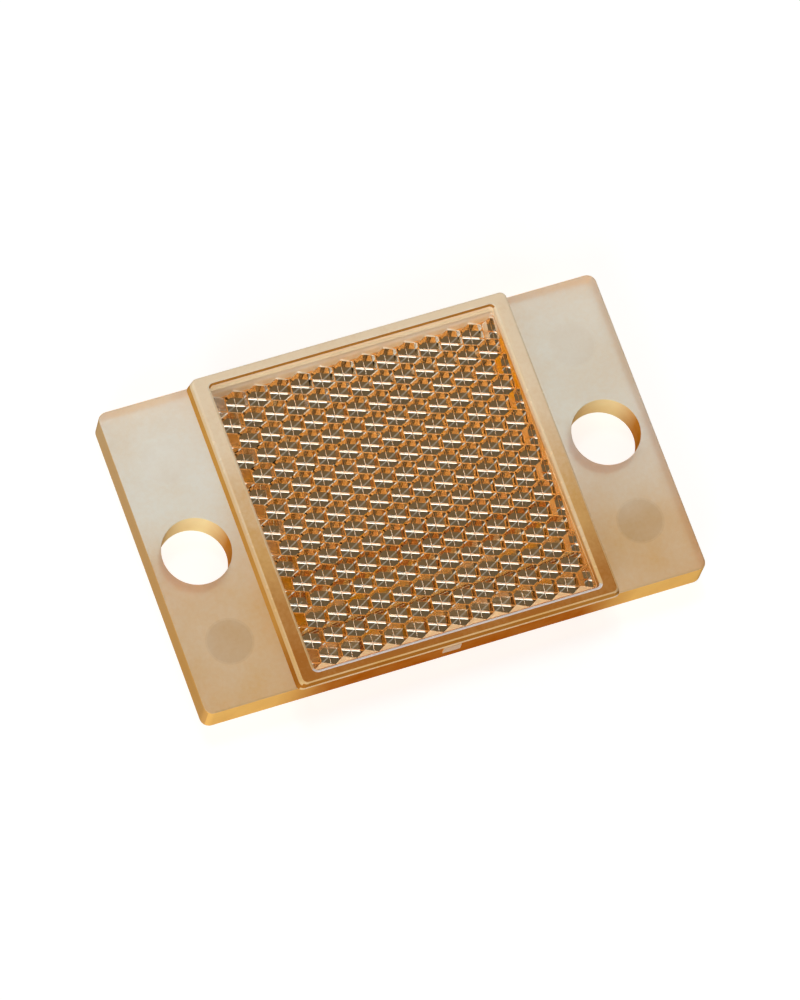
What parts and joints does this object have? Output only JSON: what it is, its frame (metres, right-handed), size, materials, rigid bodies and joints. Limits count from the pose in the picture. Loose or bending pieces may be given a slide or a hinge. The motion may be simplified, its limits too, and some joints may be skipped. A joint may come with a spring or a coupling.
{
  "type": "screw-on prismatic reflector",
  "caption": "Flat rectangular amber reflector with a screw hole in each end flange and a raised frosted frame round a recessed corner-cube prism lens.",
  "frame": {"origin": "centre of the back face, on the surface that the reflector is screwed to", "axes": "+X along the line through the two screw holes, +Y across the plate, +Z out of the reflecting face"},
  "size_m": [0.05, 0.0316, 0.0049],
  "materials": {
    "frosted_plate": "translucent amber acrylic with a fine frosted mould texture",
    "frosted_frame": "translucent amber acrylic, frosted on top with polished edges",
    "clear_lens": "clear polished amber acrylic with corner-cube prisms on its back"
  },
  "bodies": {
    "root": {"base_plate": "frosted_plate", "front_frame": "frosted_frame", "prism_lens": "clear_lens"}
  },
  "joints": []
}
